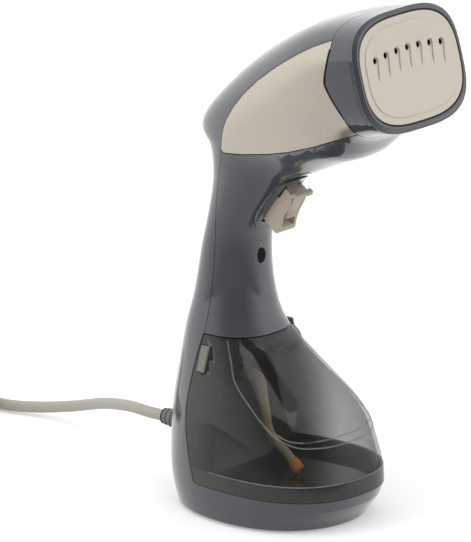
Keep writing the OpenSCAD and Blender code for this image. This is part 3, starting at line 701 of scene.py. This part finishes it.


# ---- Casing ----

# The edge of the tank's seat on the casing's side: its places along Y at the foot and at the top, how far
# it bows back between them, and its top height. Then how far the painted shadow line of the gap keeps
# behind it and above its foot, how deep it sits in the surface, the steps along it and its radius.
SEAT_LOW = 0.0220
SEAT_HIGH = 0.0290
SEAT_BULGE = 0.0060
SEAT_TOP = 0.0990
SEAT_GAP = 0.0002
SEAT_SINK = 0.0003
SEAT_STEPS = 24
SEAT_SHADOW_RADIUS = 0.00045
# The collar's edge beside the panel, as (Y, Z) in millimetres, how far the dark line of painted shadow in
# the gap keeps behind it, and that line's radius.
COLLAR_EDGE = [(-71.8, 278.6), (-71.3, 272), (-70, 264), (-69.8, 259.5), (-72.8, 254.5), (-80, 245),
               (-83.2, 237.7), (-83.4, 231.8)]
COLLAR_GAP = 0.0005
COLLAR_SHADOW_RADIUS = 0.0005


class STEAMER_OT_casing(bpy.types.Operator):
    """Finishes the casing halves, the side panels, the head's collar and the ring round the plate"""

    bl_idname = "steamer.casing"
    bl_label = "Casing"

    def execute(self, context):
        sizes = context.scene.steamer_sizes
        for node in ("rear_cover", "front_casing", "head_collar", "front_ring"):
            finished_copy(node, "casing_gloss", angle=30, dissolve=0.3)
        for node in ("side_panel_right", "side_panel_left"):
            finished_copy(node, "champagne_paint", angle=30, dissolve=0.3)
        finished_copy("plate_seal", "rubber_black", angle=40)
        finished_copy("trigger_bezel", "casing_gloss", angle=30, dissolve=0.3)
        finished_copy("indicator_lens", "lens_black", angle=40, dissolve=0.3)
        finished_copy("base_plate", "mould_dark", edge=sizes.edge)
        finished_copy("rubber_feet", "rubber_black", angle=40, edge=sizes.edge)
        finished_copy("casing_screws", "bright_steel", angle=40)
        self.seat_lines()
        self.collar_lines()
        return {"FINISHED"}

    def collar_lines(self):
        """Lays a thin dark line between each side panel and the collar, a painted shadow of the gap
        between them.
        """
        for name, sign in (("right", -1), ("left", 1)):
            side = surface_of("side_panel_" + name)
            line = []
            for place in through([Vector((0, y, z)) / 1000 for y, z in COLLAR_EDGE], 4):
                spot = side_point(side, sign, place.y + COLLAR_GAP, place.z)
                if spot:
                    line.append(spot)
            # This dark line is painted shadow in the gap between the panel and the collar.
            bead_along("panel_seal_" + name, line, COLLAR_SHADOW_RADIUS, "rubber_black", "casing")

    def seat_lines(self):
        """Lays a thin black line along the casing's edge on both sides of the tank's seat, a painted
        shadow of the gap there.
        """
        side = surface_of("rear_cover")
        foot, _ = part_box("tank_shell")
        for name, sign in (("right", -1), ("left", 1)):
            line = []
            for k in range(SEAT_STEPS + 1):
                t = k / SEAT_STEPS
                y = SEAT_LOW + (SEAT_HIGH - SEAT_LOW) * t + 4 * SEAT_BULGE * t * (1 - t)
                z = foot.z + SEAT_GAP + (SEAT_TOP - foot.z) * t
                spot = side_point(side, sign, y + SEAT_GAP, z)
                if spot:
                    line.append(spot - Vector((sign * SEAT_SINK, 0, 0)))
            # This black line is painted shadow in the gap between the casing and the tank.
            bead_along("tank_seat_seal_" + name, line, SEAT_SHADOW_RADIUS, "rubber_black", "casing")


class STEAMER_OT_plate(bpy.types.Operator):
    """Finishes the steam plate with its holes and grooves"""

    bl_idname = "steamer.plate"
    bl_label = "Steam plate"

    def execute(self, context):
        sizes = context.scene.steamer_sizes
        finished_copy("steam_plate", "ceramic_coat", angle=24, edge=sizes.edge, dissolve=0.4)
        return {"FINISHED"}


class STEAMER_OT_trigger(bpy.types.Operator):
    """Finishes the trigger and the steam lock slider on it"""

    bl_idname = "steamer.trigger"
    bl_label = "Trigger and steam lock"

    def execute(self, context):
        sizes = context.scene.steamer_sizes
        finished_copy("trigger", "trigger_satin", angle=30, edge=sizes.edge)
        finished_copy("steam_lock", "trigger_satin", angle=30, edge=sizes.edge)
        return {"FINISHED"}


# The right halves of the two beads round the tank's front, in millimetres.
TONGUE = [(-25.1, 13.3, 97.6), (-29.8, 7.0, 88), (-33.6, 0.8, 78.2), (-37.1, -12.9, 67.5),
          (-38.4, -26.3, 57.7), (-36.7, -34.5, 52.4), (-31, -43, 48.8), (-19, -50, 47.6),
          (-9, -52, 47.4), (0, -52.5, 47.4)]
TONGUE_INNER = [(-36.4, -30, 55.6), (-34.0, -36.5, 52.4), (-28.5, -42.5, 51.0), (-18, -48.4, 51.2),
                (-9, -50.2, 51.4), (0, -50.7, 51.5)]
# The line round the tank's foot: its height over the tank's underside, and its places in degrees round
# the tank. Then the radius of this line and of the beads.
RIM_HEIGHT = 0.0088
RIM_ARC = range(168, 373, 3)
BEAD_RADIUS = 0.0004


class STEAMER_OT_tank(bpy.types.Operator):
    """Finishes the water tank, its cap, stopper, suction tube and release buttons"""

    bl_idname = "steamer.tank"
    bl_label = "Water tank"

    def execute(self, context):
        sizes = context.scene.steamer_sizes
        finished_copy("tank_shell", "smoked_clear", angle=30, dissolve=0.3)
        finished_copy("tank_cap", "mould_dark", angle=40)
        finished_copy("tank_cap_seal", "rubber_black", angle=40)
        finished_copy("tank_stopper", "stopper_grey", angle=40, edge=sizes.edge)
        finished_copy("suction_tube", "silicone", angle=60)
        finished_copy("tube_weight", "amber_resin", angle=40, edge=sizes.soft_edge)
        for side in ("right", "left"):
            finished_copy("release_button_" + side, "button_grey", angle=30, edge=sizes.soft_edge * 2)
            self.spring(side, sizes.button_travel)
        self.beads()
        return {"FINISHED"}

    def spring(self, side, travel):
        """A button's spring, finished as a copy with a mesh of its own."""
        piece = finished_copy("button_spring_" + side, "bright_steel", angle=60, dissolve=0)
        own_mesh(piece)

    def beads(self):
        """Lays the moulded beads round the tank's tongue-shaped front, and the line round its foot. Their
        tone, lighter than the tank's smoke, is a painted highlight along them.
        """
        wall = surface_of("tank_shell")
        floor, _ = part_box("tank_shell")
        lines = {}
        for name, half in (("tank_bead_outer", TONGUE), ("tank_bead_inner", TONGUE_INNER)):
            side = [Vector(point) / 1000 for point in half]
            lines[name] = through(side + [Vector((-p.x, p.y, p.z)) for p in reversed(side[:-1])], 6)
        rim = lines["tank_rim_line"] = []
        for degrees in RIM_ARC:
            out = Vector((math.cos(math.radians(degrees)), math.sin(math.radians(degrees)), 0))
            spot = wall.ray_cast(Vector((0, 0, floor.z + RIM_HEIGHT)) + out * OUTSIDE, -out)[0]
            if spot:
                rim.append(spot)
        for name, line in lines.items():
            line = [wall.find_nearest(place)[0] for place in line]
            # The beads are moulded lines, and their lighter tone is a painted highlight.
            bead_along(name, line, BEAD_RADIUS, "smoke_bead", "tank")


class STEAMER_OT_inside(bpy.types.Operator):
    """Gives the works inside the casing their materials"""

    bl_idname = "steamer.inside"
    bl_label = "Works inside"

    def execute(self, context):
        for finish, nodes in {
            # The chamber is near black as painted shade seen through the plate's holes.
            "plated_black": ("steam_chamber",),
            "cast_metal": ("chamber_lid",),
            "bright_steel": ("heating_element", "thermostat", "trigger_pin", "trigger_spring"),
            "ceramic_white": ("thermal_fuse",),
            "nylon_white": ("steam_pump", "switch_plunger"),
            "mould_dark": ("pump_bracket", "tank_socket", "microswitch", "trigger_bracket", "cord_clamp"),
            "silicone": ("pump_inlet_tube", "pump_outlet_tube"),
            "circuit_board": ("indicator_board",),
        }.items():
            for node in nodes:
                dress(node, finish)
        return {"FINISHED"}


# ---- Stage ----

# The direction from the object to the camera, the camera's distance, its aim, and the view's right.
VIEW_BACK = Vector((-0.7306, -0.6130, 0.3007))
VIEW_DISTANCE = 5.0
VIEW_AIM = Vector((0.0154, 0.0419, 0.1228))
VIEW_RIGHT = Vector((0.6428, -0.7660, 0))
FLOOR_RADIUS = 30
FLOOR_DROP = 0.0002
# The floor's own light where it is seen, its brightness in reflections away from the camera, and how much
# less that is towards the camera.
FLOOR_GLOW = 0.36
FLOOR_SHINE = 0.95
FLOOR_SHADE = 0.75
# The surroundings' light on matt surfaces, and how much darker they are in reflections towards the
# camera.
ROOM_LIGHT = 0.62
ROOM_SHADE = 0.9


class STEAMER_OT_stage(bpy.types.Operator):
    """Sets the camera, the lamps, the floor and the white surroundings"""

    bl_idname = "steamer.stage"
    bl_label = "Stage"

    def execute(self, context):
        self.camera(context.scene)
        self.floor()
        self.lamps()
        self.world(context.scene)
        context.scene.view_settings.view_transform = "Standard"
        return {"FINISHED"}

    def camera(self, scene):
        """Sets a long lens on the object, from the front and the right."""
        data = bpy.data.cameras.new("studio_camera")
        data.lens = 606.1
        data.sensor_width = 36
        data.clip_start = 0.1
        data.clip_end = 200
        camera = bpy.data.objects.new("studio_camera", data)
        scene.collection.objects.link(camera)
        camera.location = VIEW_BACK * VIEW_DISTANCE
        camera.rotation_mode = "QUATERNION"
        camera.rotation_quaternion = (VIEW_AIM - camera.location).to_track_quat("-Z", "Y")
        scene.camera = camera

    def floor(self):
        """Lays a white floor, which reflections see as a plain light."""
        form = bmesh.new()
        bmesh.ops.create_circle(form, cap_ends=True, segments=64, radius=FLOOR_RADIUS)
        bmesh.ops.translate(form, verts=form.verts, vec=(0, 0, -FLOOR_DROP))
        floor = link("studio_floor", mesh_of("studio_floor", form))
        finish = Finish("studio_floor")
        rays = finish.node("ShaderNodeLightPath").outputs
        shown = Wave(finish, rays["Is Camera Ray"]) + Wave(finish, rays["Is Transmission Ray"])
        plain = finish.node("ShaderNodeBsdfPrincipled", inputs={
            "Base Color": (0.80, 0.80, 0.80),
            "Roughness": 0.9,
            "Specular IOR Level": 0.0,
            "Emission Color": (1.0, 1.0, 1.0),
            "Emission Strength": shown * FLOOR_GLOW,
        })
        shine = FLOOR_SHINE - finish.reach(finish.place(), VIEW_BACK).clear(-0.30, 0.50) * FLOOR_SHADE
        mirror = finish.node("ShaderNodeEmission", inputs={"Strength": shine})
        both = finish.node("ShaderNodeMixShader", inputs={
            0: rays["Is Glossy Ray"], 1: plain.outputs[0], 2: mirror.outputs[0]})
        finish.node("ShaderNodeOutputMaterial", inputs={"Surface": both.outputs[0]})
        floor.data.materials.append(finish.material)

    def lamps(self):
        """Hangs one soft lamp above and one on each side."""
        aim = Vector((0, 0, 0.15))
        left = aim - VIEW_RIGHT * 1.3 + VIEW_BACK * 0.55 + Vector((0, 0, 0.5))
        right = aim + VIEW_RIGHT * 1.4 + VIEW_BACK * 0.35 + Vector((0, 0, 0.3))
        for name, place, width, height, power in (
            ("top_softbox", Vector((-0.2, -0.1, 1.7)), 1.5, 1.5, 9.0),
            ("left_softbox", left, 0.7, 1.5, 7.0),
            ("right_softbox", right, 0.5, 1.4, 5.0),
        ):
            data = bpy.data.lights.new(name, "AREA")
            data.shape = "RECTANGLE"
            data.size = width
            data.size_y = height
            data.energy = power
            lamp = bpy.data.objects.new(name, data)
            bpy.context.scene.collection.objects.link(lamp)
            lamp.location = place
            lamp.visible_glossy = name == "top_softbox"
            lamp.rotation_mode = "QUATERNION"
            lamp.rotation_quaternion = (aim - place).to_track_quat("-Z", "Y")

    def world(self, scene):
        """Surrounds the object with white, darker in reflections towards the camera."""
        world = bpy.data.worlds.new("studio_world")
        world.use_nodes = True
        scene.world = world
        finish = Finish("studio_world", world.node_tree)
        rays = finish.node("ShaderNodeLightPath").outputs
        way = finish.node("ShaderNodeTexCoord").outputs["Generated"]
        room = 1 - finish.reach(way, VIEW_BACK).clear(0.0, 0.9) * ROOM_SHADE
        camera = Wave(finish, rays["Is Camera Ray"])
        through_clear = Wave(finish, rays["Is Transmission Ray"])
        gloss = Wave(finish, rays["Is Glossy Ray"])
        white = finish.node("ShaderNodeMath", {"operation": "MAXIMUM"}, {0: camera, 1: through_clear})
        white = Wave(finish, white.outputs[0])
        strength = (1 - white) * (gloss * room + (1 - gloss) * ROOM_LIGHT) + white
        light = finish.node("ShaderNodeBackground",
                            inputs={"Color": (1.0, 1.0, 1.0), "Strength": strength})
        finish.node("ShaderNodeOutputWorld", inputs={"Surface": light.outputs[0]})


# ---- Sidebar ----

OPERATORS = (STEAMER_OT_stage, STEAMER_OT_cord, STEAMER_OT_casing, STEAMER_OT_plate, STEAMER_OT_trigger,
             STEAMER_OT_tank, STEAMER_OT_inside)


class STEAMER_PT_panel(bpy.types.Panel):
    """Lists the steamer's sizes, colours and steps"""

    bl_idname = "STEAMER_PT_panel"
    bl_label = "Garment steamer"
    bl_space_type = "VIEW_3D"
    bl_region_type = "UI"
    bl_category = "Steamer"

    def draw(self, context):
        for group in (context.scene.steamer_sizes, context.scene.steamer_colours):
            box = self.layout.box()
            for key in group.bl_rna.properties.keys():
                if key not in ("rna_type", "name"):
                    box.prop(group, key)
        for step in OPERATORS:
            self.layout.operator(step.bl_idname)


CLASSES = (SteamerSizes, SteamerColours, *OPERATORS, STEAMER_PT_panel)


def register():
    for item in CLASSES:
        bpy.utils.register_class(item)
    bpy.types.Scene.steamer_sizes = bpy.props.PointerProperty(type=SteamerSizes)
    bpy.types.Scene.steamer_colours = bpy.props.PointerProperty(type=SteamerColours)


def unregister():
    del bpy.types.Scene.steamer_colours
    del bpy.types.Scene.steamer_sizes
    for item in reversed(CLASSES):
        bpy.utils.unregister_class(item)


def main():
    register()
    bpy.ops.steamer.stage()
    bpy.ops.steamer.cord()
    bpy.ops.steamer.casing()
    bpy.ops.steamer.plate()
    bpy.ops.steamer.trigger()
    bpy.ops.steamer.tank()
    bpy.ops.steamer.inside()


if __name__ == "__main__":
    main()
